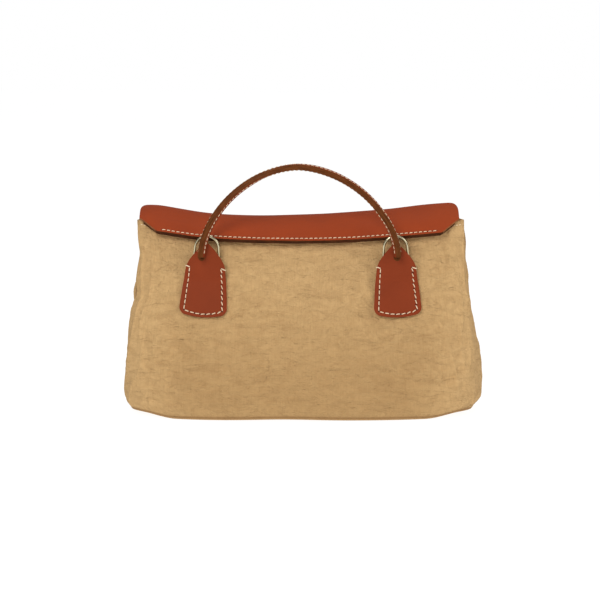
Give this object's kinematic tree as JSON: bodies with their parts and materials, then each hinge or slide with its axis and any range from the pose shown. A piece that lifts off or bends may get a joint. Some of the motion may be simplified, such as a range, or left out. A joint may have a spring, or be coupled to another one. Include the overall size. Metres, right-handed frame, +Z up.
{
  "type": "doctor bag",
  "caption": "Soft canvas handbag with a wide base, a narrow mouth under a saddle-shaped leather flap, arched leather handles and D-rings.",
  "frame": {"origin": "under the middle of the base, on the surface the bag stands on", "axes": "+X to the bag's left-to-right as seen from the front, -Y out of the front, +Z up"},
  "size_m": [0.3796, 0.156, 0.2677],
  "materials": {
    "canvas": "washed plain-weave cotton canvas with slubs and soft creases",
    "flap_leather": "smooth vegetable-tanned leather, semi-matt",
    "leather": "smooth vegetable-tanned leather with cream saddle stitching",
    "edge_leather": "burnished cut edge",
    "ring_metal": "polished pale gold",
    "magnet_steel": "nickel-plated",
    "board": "fibreboard stiffener"
  },
  "bodies": {
    "bag": {"back_hem": "canvas", "back_left_chape": "leather", "back_left_paddle": "leather", "back_left_patch": "leather", "back_left_strap_tail": "edge_leather", "back_panel": "canvas", "back_right_chape": "leather", "back_right_paddle": "leather", "back_right_patch": "leather", "back_right_strap_tail": "edge_leather", "base_board": "board", "base_panel": "canvas", "flap_back_leaf": "flap_leather", "front_hem": "canvas", "front_left_chape": "leather", "front_left_paddle": "leather", "front_left_patch": "leather", "front_left_strap_tail": "edge_leather", "front_panel": "canvas", "front_right_chape": "leather", "front_right_paddle": "leather", "front_right_patch": "leather", "front_right_strap_tail": "edge_leather", "hem_magnet_left": "magnet_steel", "hem_magnet_right": "magnet_steel", "left_gusset": "canvas", "right_gusset": "canvas"},
    "flap": {"flap_lining": "leather", "flap_magnet_left": "magnet_steel", "flap_magnet_right": "magnet_steel", "flap_panel": "flap_leather"},
    "front_handle": {"front_handle_inner_strip": "leather", "front_handle_outer_strip": "leather"},
    "back_handle": {"back_handle_inner_strip": "leather", "back_handle_outer_strip": "leather"},
    "back_left_ring_body": {"back_left_ring": "ring_metal"},
    "back_right_ring_body": {"back_right_ring": "ring_metal"},
    "front_left_ring_body": {"front_left_ring": "ring_metal"},
    "front_right_ring_body": {"front_right_ring": "ring_metal"}
  },
  "joints": [
    {"name": "flap_hinge", "type": "hinge", "parent": "bag", "child": "flap", "pos_m": [0, 0.0264, 0.198], "axis": [-1, 0, 0], "range_deg": [0, 145]},
    {"name": "front_handle_swing", "type": "hinge", "parent": "bag", "child": "front_handle", "pos_m": [0, -0.0504, 0.1687], "axis": [1, 0, 0], "range_deg": [0, 165]},
    {"name": "back_handle_swing", "type": "hinge", "parent": "bag", "child": "back_handle", "pos_m": [0, 0.0504, 0.1687], "axis": [-1, 0, 0], "range_deg": [-168, 0]},
    {"name": "front_left_ring_swing", "type": "hinge", "parent": "bag", "child": "front_left_ring_body", "pos_m": [-0.09951, -0.03677, 0.156], "axis": [0.998, -0.0264, -0.0566], "range_deg": [0, 5]},
    {"name": "front_right_ring_swing", "type": "hinge", "parent": "bag", "child": "front_right_ring_body", "pos_m": [0.09924, -0.03677, 0.15599], "axis": [0.9993, 0.0191, 0.0333], "range_deg": [0, 5]},
    {"name": "back_left_ring_swing", "type": "hinge", "parent": "bag", "child": "back_left_ring_body", "pos_m": [-0.09828, 0.03678, 0.156], "axis": [-0.9987, 0.0072, -0.0499], "range_deg": [0, 5]},
    {"name": "back_right_ring_swing", "type": "hinge", "parent": "bag", "child": "back_right_ring_body", "pos_m": [0.09828, 0.03678, 0.156], "axis": [-0.9987, -0.0072, 0.0499], "range_deg": [0, 5]}
  ]
}
